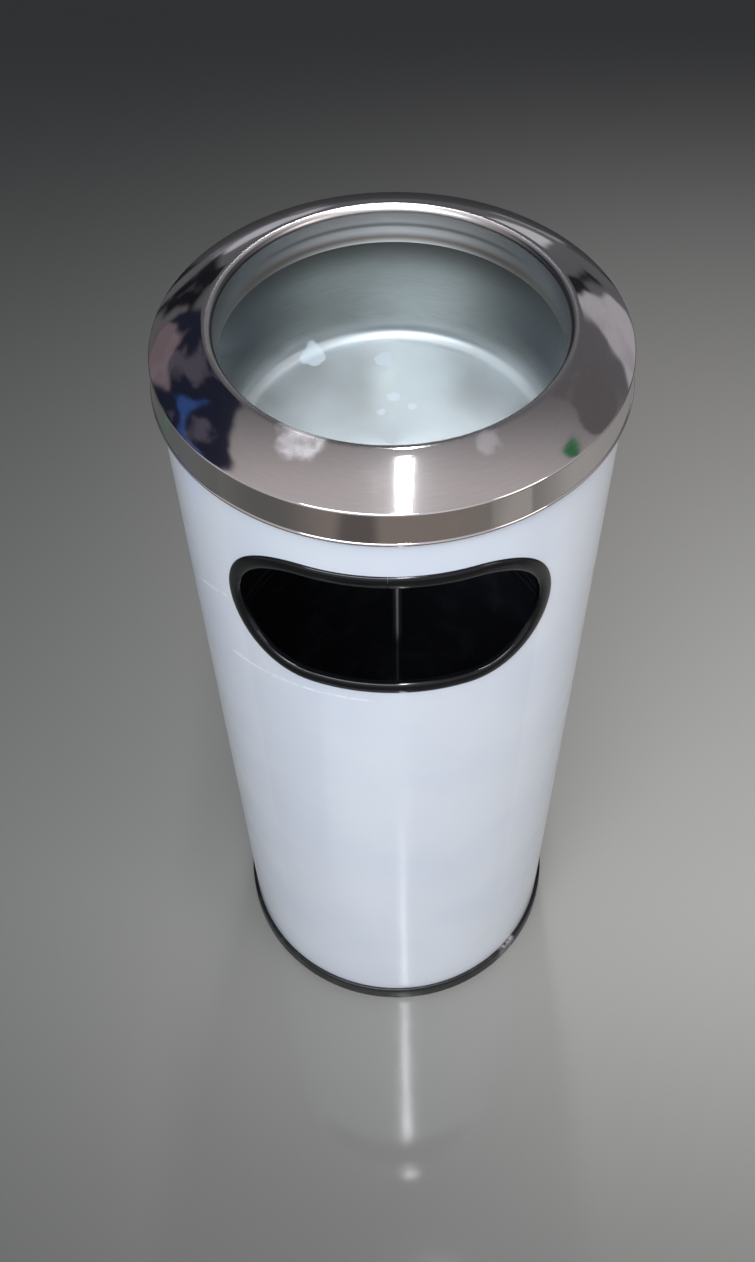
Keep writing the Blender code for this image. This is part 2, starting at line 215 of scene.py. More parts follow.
def new_material(name, **values):
    """A material, a way to add nodes to it, its Principled shader and its object coordinates."""
    material = bpy.data.materials.new(name)
    material.use_nodes = True
    node = functools.partial(add, material.node_tree)
    shader = material.node_tree.nodes["Principled BSDF"]
    finish_shader(shader, **values)
    return material, node, shader, node("TexCoord").outputs["Object"]


def patch(node, place, centre_mm, radius_mm, ragged_mm, lump_mm):
    """A ragged spot: 1 inside a radius round a point, 0 outside, its edge pushed about by noise."""
    centre = tuple(value * MM for value in centre_mm)
    offset = node("VectorMath", place, centre, operation="DISTANCE")
    cloud = node("TexNoise", place, lumps(lump_mm), 4.0)
    push = ragged_mm * MM
    shift = node("Math", cloud, 2 * push, -push, operation="MULTIPLY_ADD")
    edge = node("Math", offset, shift, operation="ADD")
    return node("MapRange", edge, 1.15 * radius_mm * MM, 0.75 * radius_mm * MM, **SMOOTH)


# %% [markdown]
# ## White powder coat
#
# The tube is degreased steel sprayed with dry polyester powder and baked, which leaves a thick,
# glossy skin. Its surface has orange peel, ripples a few millimetres across and a few hundredths
# of a millimetre high, so reflections are crisp but wobble. The white leans a little to blue. Two
# pale scuffs run across its left side below and beside the slot, where something rubbed it.
#
# The scuffs lie on a curved wall, so the recipe first unrolls the wall: the distance round the
# skin and the height become flat coordinates, and a scuff is then a thin arc of a large circle.


# %% Powder-coated steel
def turn_from_front(node, axes):
    """The angle round the Z axis, 0 at the front, growing to the right."""
    front = node("Math", axes[1], -1.0, operation="MULTIPLY")
    return node("Math", axes[0], front, operation="ARCTAN2")


def scuff(node, place, skin_radius, start_mm, end_mm, rise_mm, width_mm):
    """A thin curved rub mark between two points on the unrolled wall, given as (round, height)."""
    axes = node("SeparateXYZ", place).outputs
    around = node("Math", turn_from_front(node, axes), skin_radius, operation="MULTIPLY")
    (first, low), (last, high) = ([value * MM for value in end] for end in (start_mm, end_mm))
    share = node("MapRange", around, first, last)
    straight = node("MapRange", around, first, last, low, high, clamp=False)
    rest = node("Math", 1.0, share, operation="SUBTRACT")
    hump = node("Math", share, rest, operation="MULTIPLY")
    line = node("Math", hump, 4 * rise_mm * MM, straight, operation="MULTIPLY_ADD")
    wobble = node("Math", node("TexNoise", place, lumps(14), 3.0), 1.2 * MM, operation="MULTIPLY")
    off = node("Math", node("Math", axes[2], line, operation="SUBTRACT"), operation="ABSOLUTE")
    off = node("Math", node("Math", off, wobble, operation="SUBTRACT"), operation="ABSOLUTE")
    mark = node("MapRange", off, width_mm * MM, 0.0, **SMOOTH)
    broken = node("TexNoise", place, lumps(6), 3.0)
    fades = (
        node("MapRange", share, 0.0, 0.12, **SMOOTH),
        node("MapRange", share, 1.0, 0.8, **SMOOTH),
        node("MapRange", broken, 0.35, 0.6, 0.25, 1.0, **SMOOTH),
    )
    for fade in fades:
        mark = node("Math", mark, fade, operation="MULTIPLY")
    return mark


def powder_coat(skin_radius):
    material, node, shader, place = new_material(
        "powder_coated_steel_white", IOR=1.5, Coat_Weight=0.25, Coat_Roughness=0.06
    )
    drift = node("MapRange", node("TexNoise", place, lumps(90), 3.0), 0.35, 0.65, **SMOOTH)
    paint = node("Mix", drift, colour("#D8E0EA"), colour("#DEE5EC"), **BLEND)
    height = node("SeparateXYZ", place).outputs[2]
    splash = node("MapRange", height, 0.06, 0.012, 0.0, 0.22, **SMOOTH)
    grime = node("Math", splash, node("TexNoise", place, lumps(12), 5.0), operation="MULTIPLY")
    paint = node("Mix", grime, paint, colour("#A7A39A"), **BLEND)
    beside = scuff(node, place, skin_radius, (-135, 468.5), (-96, 488.5), 0.6, 0.75)
    below = scuff(node, place, skin_radius, (-113, 430), (-1, 440.5), 4.0, 0.8)
    marks = node("Math", beside, below, operation="MAXIMUM")
    paint = node("Mix", marks, paint, colour("#F6F8FC"), **BLEND)
    gloss = node("TexNoise", place, lumps(35), 4.0)
    gloss = node("MapRange", gloss, 0.3, 0.7, 0.17, 0.24, **SMOOTH)
    gloss = node("Math", marks, 0.25, gloss, operation="MULTIPLY_ADD")
    peel = node("TexNoise", place, lumps(3), 2.0)
    waves = node("TexNoise", place, lumps(45), 1.0)
    skin = node("Math", waves, 6.0, peel, operation="MULTIPLY_ADD")
    skin = node("Math", marks, 0.6, skin, operation="MULTIPLY_ADD")
    bump = node("Bump", 0.35, 0.03 * MM, named={"Height": skin})
    finish_shader(shader, Base_Color=paint, Roughness=gloss, Normal=bump)
    return material


tube_low, tube_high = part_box("body_shell")
SKIN = tube_high.x
white_paint = powder_coat(SKIN)
print("tube radius in mm:", round(SKIN / MM, 1))

# %% [markdown]
# ## Stainless steel, polished and satin
#
# The ring on top is pressed from stainless sheet and buffed with mops until it is a mirror,
# slightly warm in colour. Buffing leaves very fine lines round the ring, and hands leave dull
# smears on it. The mops hardly reach the rolled lip and the collar inside it, which stay satin.
# Shade is painted on the collar: grey at both sides, and a brown and a grey band round it.
#
# The bowl is drawn from the same steel and left satin: its lines also run round it, but are deep
# enough to blur what it reflects into soft bands. Shade is painted on the wall just under the
# ring's collar and at both sides, and a dried, chalky film lies on the floor.
#
# Lines that run round a piece come from noise on stretched coordinates: distance from the axis,
# height, and only a little of the angle. The real lines are some hundredths of a millimetre
# apart, far too fine to show, so they are drawn about a millimetre wide.


# %% Polished steel
def round_lines(node, place, line_mm):
    """Noise in lines that run round the Z axis, each about line_mm wide, and the radius."""
    axes = node("SeparateXYZ", place).outputs
    radius = node("VectorMath", node("CombineXYZ", axes[0], axes[1]), operation="LENGTH")
    drawn = node("Math", turn_from_front(node, axes), 12 * MM, operation="MULTIPLY")
    bent = node("CombineXYZ", radius, axes[2], drawn)
    return node("TexNoise", bent, lumps(line_mm), 3.0), radius


def polished_steel():
    material, node, shader, place = new_material(
        "stainless_steel_mirror_buffed", Metallic=1.0, Coat_Weight=0.5, Coat_Roughness=0.3
    )
    lines, radius = round_lines(node, place, 1.1)
    axes = node("SeparateXYZ", place).outputs
    base = node("Mix", lines, colour("#CBC6C4"), colour("#D6D2D0"), **BLEND)
    # hand marks on the front of the ring
    film = node("MapRange", node("TexNoise", place, lumps(6), 3.0), 0.1, 0.7, 0.15, 0.7, **SMOOTH)
    smear = patch(node, place, (-39, -87, 603), 13, 8, 11)
    smear = node("Math", smear, film, operation="MULTIPLY")
    faint = patch(node, place, (46, -88, 603), 8, 4, 8)
    marks = node("Math", faint, 0.25, smear, operation="MULTIPLY_ADD", use_clamp=True)
    base = node("Mix", marks, base, colour("#CFCDD0"), **BLEND)
    bare = node("Math", marks, -0.45, 1.0, operation="MULTIPLY_ADD")
    # painted shade on the collar: grey at both sides, and a brown and a grey band round it
    aside = node("Math", axes[0], operation="ABSOLUTE")
    inside = node("MapRange", radius, 0.0934, 0.0926, **SMOOTH)
    collar_painted_shade = node("MapRange", aside, 0.03, 0.08, 0.1, 0.9, **SMOOTH)
    collar_painted_shade = node("Math", collar_painted_shade, inside, operation="MULTIPLY")
    base = node("Mix", collar_painted_shade, base, colour("#4B4D50"), **BLEND)
    inside = node("MapRange", radius, 0.0936, 0.093, **SMOOTH)
    # painted shade bands round the collar: height and width in mm, and colour
    for height_mm, width_mm, tint in ((590.5, 4.2, "#5E4B36"), (598.5, 2.2, "#6A6764")):
        off = node("Math", axes[2], height_mm * MM, operation="SUBTRACT")
        off = node("Math", off, operation="ABSOLUTE")
        ring = node("MapRange", off, width_mm * MM, 0.0, 0.0, 0.75, **SMOOTH)
        ring = node("Math", inside, ring, operation="MULTIPLY")
        base = node("Mix", ring, base, colour(tint), **BLEND)
    haze = node("TexNoise", place, lumps(28), 4.0)
    rough = node("MapRange", haze, 0.5, 0.75, 0.055, 0.105, **SMOOTH)
    rough = node("Math", marks, 0.33, rough, operation="MULTIPLY_ADD")
    satin = node("MapRange", radius, 0.0962, 0.0938, 0.0, 0.24, **SMOOTH)
    rough = node("Math", rough, satin, operation="ADD")
    waves = node("TexNoise", place, lumps(34), 1.0)
    height = node("Math", waves, 4.0, lines, operation="MULTIPLY_ADD")
    bump = node("Bump", 0.25, 0.02 * MM, named={"Height": height})
    finish_shader(shader, Base_Color=base, Metallic=bare, Roughness=rough, Normal=bump)
    return material


polished = polished_steel()


# %% [markdown]
# ## Satin steel
#
# The bowl is drawn from the same sheet but left satin. Rings from the drawing run round it, and
# ash and water leave chalky spots on its floor.

# %% Satin steel
BOWL_FLOOR = 518.0  # height of the bowl's floor in mm
CHALK_SPOTS = ((-49, 74, 9), (-6, 72, 7), (0, 39, 4), (11, 31, 3), (-7, 26, 3), (52, -8, 6))


def satin_steel(floor_mm):
    material, node, shader, place = new_material(
        "stainless_steel_satin_drawn", Metallic=1.0, Anisotropic=0.45
    )
    lines, _ = round_lines(node, place, 1.3)
    base = node("Mix", lines, colour("#8E918E"), colour("#A0A3A0"), **BLEND)
    axes = node("SeparateXYZ", place).outputs
    # painted shade at both sides of the wall
    aside = node("Math", axes[0], operation="ABSOLUTE")
    wall_painted_side_shade = node("MapRange", aside, 0.035, 0.088, 0.0, 0.85, **SMOOTH)
    wall = node("MapRange", axes[2], (floor_mm + 4) * MM, (floor_mm + 30) * MM, **SMOOTH)
    sides = node("Math", wall_painted_side_shade, wall, operation="MULTIPLY")
    base = node("Mix", sides, base, colour("#474E54"), **BLEND)
    # chalk on the floor, in a film and in spots of (x, y, size) in mm
    low = node("MapRange", axes[2], (floor_mm + 16) * MM, floor_mm * MM, **SMOOTH)
    cloud = node("TexNoise", place, lumps(38), 5.0)
    cloud = node("MapRange", cloud, 0.25, 0.7, 0.5, 0.7, **SMOOTH)
    chalk = node("Math", low, cloud, operation="MULTIPLY")
    for x, y, size in CHALK_SPOTS:
        spot = patch(node, place, (x, y, floor_mm), size, size * 0.6, size)
        chalk = node("Math", chalk, spot, operation="MAXIMUM")
    base = node("Mix", chalk, base, colour("#BECACF"), **BLEND)
    # painted shade: a dark band on the wall just under the ring's collar
    wall_painted_shade_under_collar = node("MapRange", axes[2], 0.562, 0.584, 0.0, 0.72, **SMOOTH)
    base = node("Mix", wall_painted_shade_under_collar, base, colour("#4A4641"), **BLEND)
    bare = node("Math", chalk, -0.8, 1.0, operation="MULTIPLY_ADD")
    rough = node("Math", chalk, 0.25, 0.27, operation="MULTIPLY_ADD")
    bump = node("Bump", 0.4, 0.03 * MM, named={"Height": lines})
    finish_shader(shader, Base_Color=base, Metallic=bare, Roughness=rough, Normal=bump)
    return material


satin = satin_steel(BOWL_FLOOR)
print("steels:", polished.name, satin.name)

# %% [markdown]
# ## Black plastic, black enamel and zinc
#
# The trim and the base ring are moulded from soft black plastic. It has a fine matt grain from
# the mould and picks up dust and grey rub marks. The pail is steel under glossy black enamel,
# worn along the edge of its lap seam, where a near-white painted highlight with a faint painted
# glow lies, brightest high up. Its handle, ears, rivets and the base screws are zinc plated:
# grey, slightly mottled, half dull.


# %% Plastic, enamel and zinc
def moulded_plastic(name, gloss, dusty, rub_place=None):
    material, node, shader, place = new_material(name, IOR=1.43)
    dust = node("TexNoise", place, lumps(5), 6.0)
    dust = node("MapRange", dust, 0.5, 0.8, 0.0, dusty, **SMOOTH)
    base = node("Mix", dust, colour("#07090C"), colour("#4A4B4E"), **BLEND)
    rough = node("TexNoise", place, lumps(18), 3.0)
    rough = node("MapRange", rough, 0.3, 0.7, gloss, gloss + 0.1, **SMOOTH)
    if rub_place:
        fine = node("TexNoise", place, lumps(2.5), 3.0)
        fine = node("MapRange", fine, 0.35, 0.6, **SMOOTH)
        rub = node("Math", patch(node, place, rub_place, 12, 8, 6), fine, operation="MULTIPLY")
        base = node("Mix", rub, base, colour("#8B8789"), **BLEND)
        rough = node("Math", rub, 0.2, rough, operation="MULTIPLY_ADD")
    grain = node("TexNoise", place, lumps(0.8), 2.0)
    bump = node("Bump", 0.25, 0.03 * MM, named={"Height": grain})
    finish_shader(shader, Base_Color=base, Roughness=rough, Normal=bump)
    return material


def black_enamel(worn=False):
    name = "enamelled_steel_black_worn_lap" if worn else "enamelled_steel_black"
    material, node, shader, place = new_material(name, IOR=1.5)
    dust = node("MapRange", node("TexNoise", place, lumps(24), 5.0), 0.45, 0.8, 0.0, 0.4, **SMOOTH)
    skin = node("Mix", dust, colour("#2A2B30"), colour("#4A4C52"), **BLEND)
    if worn:
        # the lap's edge: paint worn thin, and a painted highlight, near white, with a faint painted
        # glow beside it and dimmer below 0.2 m
        axes = node("SeparateXYZ", place).outputs
        aside = node("Math", axes[0], operation="ABSOLUTE")
        edge = node("MapRange", aside, 1.6 * MM, 0.3 * MM, **SMOOTH)
        lap_painted_glow = node("MapRange", aside, 5.2 * MM, 0.0, 0.0, 0.12, **SMOOTH)
        edge = node("Math", edge, lap_painted_glow, operation="MAXIMUM")
        high = node("MapRange", axes[2], 0.175, 0.2, 0.12, 1.0, **SMOOTH)
        edge = node("Math", edge, high, operation="MULTIPLY")
        skin = node("Mix", edge, skin, colour("#FAFBFC"), **BLEND)
    rough = node("TexNoise", place, lumps(30), 3.0)
    rough = node("MapRange", rough, 0.3, 0.7, 0.14, 0.26, **SMOOTH)
    bump = node("Bump", 0.3, 0.04 * MM, named={"Height": node("TexNoise", place, lumps(4), 2.0)})
    finish_shader(shader, Base_Color=skin, Roughness=rough, Normal=bump)
    return material


def zinc_plate():
    material, node, shader, place = new_material("zinc_plated_steel_bright", Metallic=1.0)
    mottle = node("MapRange", node("TexNoise", place, lumps(7), 4.0), 0.3, 0.7, **SMOOTH)
    plate = node("Mix", mottle, colour("#B4B8BC"), colour("#CFCFC9"), **BLEND)
    rough = node("MapRange", mottle, 0.0, 1.0, 0.28, 0.42, **SMOOTH)
    grain = node("TexNoise", place, lumps(1.2), 2.0)
    bump = node("Bump", 0.3, 0.02 * MM, named={"Height": grain})
    finish_shader(shader, Base_Color=plate, Roughness=rough, Normal=bump)
    return material


RUB_PLACE = (94.7, -84, 8)  # a grey rub mark at the right of the base ring's front
trim_plastic = moulded_plastic("pvc_moulded_black_edge_trim", 0.06, 0.04)
ring_plastic = moulded_plastic("polypropylene_moulded_black_base", 0.32, 0.3, RUB_PLACE)
grip_plastic = moulded_plastic("polypropylene_moulded_black_grip", 0.4, 0.2)
enamel = black_enamel()
zinc = zinc_plate()
print("finishes:", ", ".join(material.name for material in bpy.data.materials))

# %% [markdown]
# ## The tube and its slot
#
# The tube is one sheet, 0.8 mm thick, with a slot punched in it while it is flat. The sheet is
# rolled, its ends meet at the back over a strip, and its top edge is turned in to stiffen it. A
# Boolean is the plain way to punch the slot: the cutter's sides run along the tube's radii, so
# the cut edge stands square to the sheet all the way round. The plastic trim hides that edge.


# %% Sizes and outlines of the tube and its slot
SHEET = 0.8
SLOT = {"half_length": 88.5, "half_height": 44.5, "centre": 500.5}
TUBE_MM = SKIN / MM
TUBE_FOOT = tube_low.z / MM
TUBE_TOP = tube_high.z / MM
HEM_RADIUS = 119.6


def slot_path(grow=0.0, steps=24):
    """Points round the slot as (round the skin, height), starting and ending at its top middle."""
    half = SLOT["half_height"] + grow
    reach = SLOT["half_length"] - SLOT["half_height"]
    top = [(reach * i / steps, half) for i in range(steps)]
    right = [(reach + x, z) for x, z in arc((0, 0), half, 90, -90, steps * 2)]
    bottom = [(reach * (1 - 2 * i / (2 * steps)), -half) for i in range(1, 2 * steps)]
    left = [(x - reach, z) for x, z in arc((0, 0), half, -90, -270, steps * 2)]
    last = [(-reach * (1 - i / steps), half) for i in range(1, steps)]
    return [(x, SLOT["centre"] + z) for x, z in top + right + bottom + left + last]


def slot_cutter():
    bm = bmesh.new()
    rings = []
    path = slot_path(steps=12)
    for depth, flat in ((60, True), (119, False), (128, False), (150, True)):
        ring = []
        for along, height in path:
            turn = along / TUBE_MM
            if flat:
                ring.append(bm.verts.new((depth * math.tan(turn), -depth, height)))
            else:
                ring.append(bm.verts.new((depth * math.sin(turn), -depth * math.cos(turn), height)))
        rings.append(ring)
    bridge(bm, rings)
    return finish_mesh(bm, "slot_cutter")


def tube_outline():
    inner = TUBE_MM - SHEET
    hem = (HEM_RADIUS + 1.2, TUBE_TOP - 1.2)
    bend = (TUBE_MM - 2.0, TUBE_TOP - 2.0)
    outline = [(TUBE_MM, TUBE_FOOT)] + arc(bend, 2.0, 0, 90, 8) + arc(hem, 1.2, 90, 180, 6)
    outline += [(HEM_RADIUS, TUBE_TOP - 3.8), (HEM_RADIUS + SHEET, TUBE_TOP - 3.8)]
    outline += arc(hem, 0.4, 180, 90, 4) + arc(bend, 1.2, 90, 0, 6) + [(inner, TUBE_FOOT)]
    return outline


def apply_modifiers(piece):
    """Turns the piece with its modifiers into a plain mesh, and drops the modifiers."""
    graph = bpy.context.evaluated_depsgraph_get()
    mesh = bpy.data.meshes.new_from_object(piece.evaluated_get(graph), depsgraph=graph)
    piece.modifiers.clear()
    piece.data = mesh
    mesh.name = piece.name


def cut_away(piece, *cutters):
    """Takes the cutters' shapes out of a piece, and removes them."""
    for cutter in cutters:
        modifier = piece.modifiers.new("cut", "BOOLEAN")
        modifier.object = cutter
        modifier.operation = "DIFFERENCE"
        modifier.solver = "EXACT"
    apply_modifiers(piece)
    for cutter in cutters:
        bpy.data.objects.remove(cutter)


# %% [markdown]
# The cutter is a box with rounded ends whose sides run along the tube's radii. A Boolean is the
# simplest way to punch one clean slot in a curved sheet.

# %% Roll the tube and punch the slot
SEAM_GAP = 0.22  # degrees, half a millimetre on the skin
tube = turned("tube", tube_outline(), white_paint, steps=288, gap=SEAM_GAP)
cut_away(tube, slot_cutter())
tube.data.shade_smooth()
tube.data.set_sharp_from_angle(angle=math.radians(35))
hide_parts("body_shell")
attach(tube, "bin")
print("tube faces:", len(tube.data.polygons))

# %% [markdown]
# ## The seam strip and its spot welds
#
# Behind the joint at the back lies a strip of the same sheet, spot welded to both ends every 40
# mm or so. Each weld is a shallow dish 5 mm across, and the paint only softens it. A row of equal
# marks is a job for Geometry Nodes: the tree below lays copies of one mark along a line and makes
# them real.


# %% A tree that lays copies in a row
def sockets(tree, **kinds):
    """Names a tree's inputs."""
    for name, kind in kinds.items():
        tree.interface.new_socket(name.replace("_", " "), in_out="INPUT", socket_type=kind)
    tree.interface.new_socket("Geometry", in_out="OUTPUT", socket_type="NodeSocketGeometry")


def grown(name, tree, **values):
    """Runs a Geometry Nodes tree on an empty mesh and returns the result as a plain mesh piece."""
    piece = bpy.data.objects.new(name, bpy.data.meshes.new(name))
    bpy.context.scene.collection.objects.link(piece)
    modifier = piece.modifiers.new("grow", "NODES")
    modifier.node_group = tree
    for item in tree.interface.items_tree:
        key = item.name.replace(" ", "_")
        if item.in_out == "INPUT" and key in values:
            modifier[item.identifier] = values[key]
    bpy.context.view_layer.update()
    apply_modifiers(piece)
    return piece


def end_tree(node, geometry, finish):
    """The end that every tree here shares: instances made real, and a finish on every face."""
    real = node("GeometryNodeRealizeInstances", geometry)
    finished = node("GeometryNodeSetMaterial", real, named={"Material": finish})
    node("NodeGroupOutput", finished)


def row_tree():
    """Copies of a piece along a straight line, each turned the same way."""
    tree = bpy.data.node_groups.new("row_of_copies", "GeometryNodeTree")
    sockets(
        tree,
        Piece="NodeSocketObject",
        Count="NodeSocketInt",
        Start="NodeSocketVector",
        Step="NodeSocketVector",
        Turn="NodeSocketVector",
        Finish="NodeSocketMaterial",
    )
    node = functools.partial(add, tree)
    given = node("NodeGroupInput").outputs
    line = node("GeometryNodeMeshLine", given["Count"], given["Start"], given["Step"])
    piece = node("GeometryNodeObjectInfo", given["Piece"]).outputs["Geometry"]
    turn = node("FunctionNodeEulerToRotation", given["Turn"])
    laid = node("GeometryNodeInstanceOnPoints", line, named={"Instance": piece, "Rotation": turn})
    end_tree(node, laid, given["Finish"])
    return tree


def join(name, pieces):
    """Puts several meshes in one object. They keep their places and finishes."""
    bm = bmesh.new()
    for piece in pieces:
        bm.from_mesh(piece.data)
    mesh = bpy.data.meshes.new(name)
    bm.to_mesh(mesh)
    bm.free()
    mesh.materials.append(pieces[0].data.materials[0])
    joined = bpy.data.objects.new(name, mesh)
    bpy.context.scene.collection.objects.link(joined)
    for piece in pieces:
        bpy.data.objects.remove(piece)
    mesh.shade_smooth()
    mesh.set_sharp_from_angle(angle=math.radians(35))
    return joined


rows = row_tree()


# %% [markdown]
# The tree copies one weld along each side of the strip, at equal steps.

# %% Lay the seam strip and the spot welds
def curved_strip(name, material, inner, outer, half_angle, bottom, top):
    """A strip of sheet on the inside of the rolled wall, at the back."""
    steps = 8
    bm = bmesh.new()
    rings = []
    for i in range(steps + 1):
        turn = math.radians(90 + half_angle * (2 * i / steps - 1))
        corners = ((inner, bottom), (outer, bottom), (outer, top), (inner, top))
        rings.append(
            [bm.verts.new((r * math.cos(turn), r * math.sin(turn), z)) for r, z in corners]
        )
    bridge(bm, rings)
    return finish_mesh(bm, name, material)


def weld_mark():
    """A spot weld: a shallow dish with a soft rim, lying in the XY plane."""
    dish = [(0, 0.02), (1.2, 0.03), (2.0, 0.08), (2.4, 0.13), (2.7, 0.1)]
    outline = [(0, -0.25)] + dish + [(3.0, -0.25)]
    return finish_mesh(spun(outline[::-1], 20), "weld_mark")


strip_outer = TUBE_MM - SHEET - 0.02
seam = curved_strip(
    "tube_seam_strip", white_paint, strip_outer - SHEET, strip_outer, 2.6, 18.0, TUBE_TOP - 9
)
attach(seam, "bin")

mark = weld_mark()
welds = []
for side in (-1, 1):
    turn = math.radians(90 + 1.25 * side)
    out = Vector((math.cos(turn), math.sin(turn), 0))
    welds.append(
        grown(
            "welds",
            rows,
            Piece=mark,
            Count=14,
            Start=tuple(out * SKIN + Vector((0, 0, 0.035))),
            Step=(0, 0, 0.0405),
            Turn=(math.radians(-90), 0, math.radians(1.25 * side)),
            Finish=white_paint,
        )
    )
spot_welds = join("tube_spot_welds", welds)
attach(spot_welds, "bin")
print("spot weld faces:", len(spot_welds.data.polygons))

# %% [markdown]
# ## The edge trim
#
# The trim is a strip of soft plastic with a channel along it, pushed over the slot's cut edge.
# Its outer lip is wide and rounded, its inner lip thinner, and its two ends meet at the top
# middle. It follows a path, so Geometry Nodes sweep its section along the flat outline of the
# slot. Then they roll the flat result round the tube, by the rule that rolled the sheet: distance
# along becomes an angle, and height off the sheet becomes radius. That keeps the section square
# to the wall, which a sweep along the bent path would not.


# %% Sweep and roll the trim
def trim_section():
    """The section in mm: x runs from the slot's edge into the slot, y stands off the sheet."""
    lip = [(4.9 * c - 2.0, 0.62 + 2.75 * s) for c, s in arc((0, 0), 1, 0, 180, 18)]
    under = [(4.2 * c - 1.3, -0.62 + 1.9 * s) for c, s in arc((0, 0), 1, 180, 360, 12)]
    return lip + [(-5.4, 0.4), (-5.4, -0.4)] + under


def loop_object(name, points, cyclic):
    """A poly curve through flat points in mm."""
    curve = bpy.data.curves.new(name, "CURVE")
    curve.dimensions = "3D"
    spline = curve.splines.new("POLY")
    spline.points.add(len(points) - 1)
    for target, point in zip(spline.points, points):
        target.co = (point[0] * MM, point[1] * MM, 0, 1)
    spline.use_cyclic_u = cyclic
    made = bpy.data.objects.new(name, curve)
    bpy.context.scene.collection.objects.link(made)
    return made


def rolled_sweep_tree():
    """Sweeps a section along a flat path, then rolls it round an upright tube."""
    tree = bpy.data.node_groups.new("sweep_and_roll", "GeometryNodeTree")
    sockets(
        tree,
        Path="NodeSocketObject",
        Section="NodeSocketObject",
        Tube_radius="NodeSocketFloat",
        Finish="NodeSocketMaterial",
    )
    node = functools.partial(add, tree)
    given = node("NodeGroupInput").outputs
    path = node("GeometryNodeObjectInfo", given["Path"]).outputs["Geometry"]
    section = node("GeometryNodeObjectInfo", given["Section"]).outputs["Geometry"]
    upright = node("GeometryNodeSetCurveNormal", path, mode="Z_UP")
    swept = node("GeometryNodeCurveToMesh", upright, section, named={"Fill Caps": True})
    along, height, off = node("SeparateXYZ", node("GeometryNodeInputPosition")).outputs
    angle = node("Math", along, given["Tube radius"], operation="DIVIDE")
    radius = node("Math", given["Tube radius"], off, operation="ADD")
    x = node("Math", radius, node("Math", angle, operation="SINE"), operation="MULTIPLY")
    back = node("Math", radius, node("Math", angle, operation="COSINE"), operation="MULTIPLY")
    y = node("Math", back, -1.0, operation="MULTIPLY")
    bent = node("CombineXYZ", x, y, height)
    moved = node("GeometryNodeSetPosition", swept, named={"Position": bent})
    end_tree(node, moved, given["Finish"])
    return tree


JOINT_GAP = 0.12
outline = slot_path(steps=20)
outline[0] = (JOINT_GAP, outline[0][1])
outline.append((-JOINT_GAP, outline[0][1]))
path_curve = loop_object("trim_path", outline, False)
section_curve = loop_object("trim_section", trim_section(), True)
trim = grown(
    "edge_trim",
    rolled_sweep_tree(),
    Path=path_curve,
    Section=section_curve,
    Tube_radius=SKIN - SHEET / 2 * MM,
    Finish=trim_plastic,
)
for helper in (path_curve, section_curve):
    bpy.data.objects.remove(helper)


def tidy_normals(piece, crease=40):
    """Merges doubles, turns the faces outwards and shades the piece smooth."""
    bm = bmesh.new()
    bm.from_mesh(piece.data)
    bmesh.ops.remove_doubles(bm, verts=bm.verts, dist=0.0005 * MM)
    bmesh.ops.recalc_face_normals(bm, faces=bm.faces)
    bm.to_mesh(piece.data)
    bm.free()
    piece.data.shade_smooth()
    piece.data.set_sharp_from_angle(angle=math.radians(crease))


tidy_normals(trim)
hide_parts("opening_trim")
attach(trim, "bin")
low, high = (Vector(corner) for corner in (trim.bound_box[0], trim.bound_box[6]))
print("trim in mm:", [round(value / MM, 1) for value in (*low, *high)])

# %% [markdown]
# ## The base ring, its plate and its screws
#
# The black ring is a moulding with a deep channel that takes the tube's lower edge. A pressed
# plate closes the tube's bottom, and four screws come up through the ring into it, their heads
# sunk so that the bin stands flat. The screws are copies of one, laid in two short rows.


# %% Base ring, plate and screws
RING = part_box("base_ring")[1] / MM


def base_ring_outline():
    wide, tall = RING.x, RING.z
    lip, root, floor = 124.3, 122.9, tall - 9.0
    outline = [(96.0, 0.4), (96.4, 0.0)] + arc((wide - 1.0, 1.0), 1.0, -90, 0, 5)
    outline += [(wide - 0.3, tall - 3.2)] + arc((wide - 2.3, tall - 2.0), 2.0, 0, 90, 8)
    outline += [(lip + 0.25, tall), (lip, tall - 0.25), (lip, floor), (root, floor)]
    outline += [(root, tall), (120.5, tall), (119.5, tall - 1.0), (119.5, 3.0)]
    return outline + [(96.4, 3.0), (96.0, 2.6)]


base_ring = turned("base_ring_moulding", base_ring_outline(), ring_plastic, steps=240)
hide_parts("base_ring")
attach(base_ring, "bin")


def base_plate_outline():
    """The plate with its raised middle, 1 mm thick, and a round bead pressed into it."""
    top = [(0, 8.3), (38, 8.3), (40, 7.5), (43, 7.4), (45, 8.2), (47, 8.3), (86.5, 8.3)]
    top += [(88.2, 7.9), (91.0, 4.9), (92.8, 4.3), (118.9, 4.3)]
    return top + [(r - 0.2 * (0 < r < 100), z - 1.0) for r, z in top[::-1]]


base_plate = turned("base_plate_pressing", base_plate_outline()[::-1], zinc, steps=144)
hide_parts("base_plate")
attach(base_plate, "bin")


def screw():
    """A pan-head screw standing on its head, with a cross recess cut in the head."""
    outline = [(0, 8.8), (0.6, 8.8), (1.75, 7.2), (1.75, 2.2), (4.2, 2.2), (4.2, 1.5)]
    outline += [(3.9, 0.95), (3.2, 0.6), (2.0, 0.5), (0, 0.5)]
    made = finish_mesh(spun(outline, 28), "screw", zinc)
    blades = []
    for turn in (0, 90):
        bm = bmesh.new()
        bmesh.ops.create_cube(bm, size=1)
        bmesh.ops.scale(bm, vec=(4.4, 0.9, 2.0), verts=bm.verts)
        bmesh.ops.rotate(bm, matrix=Matrix.Rotation(math.radians(turn), 3, "Z"), verts=bm.verts)
        bmesh.ops.translate(bm, vec=(0, 0, 0.7), verts=bm.verts)
        blades.append(finish_mesh(bm, f"recess_{turn}"))
    cut_away(made, *blades)
    return made


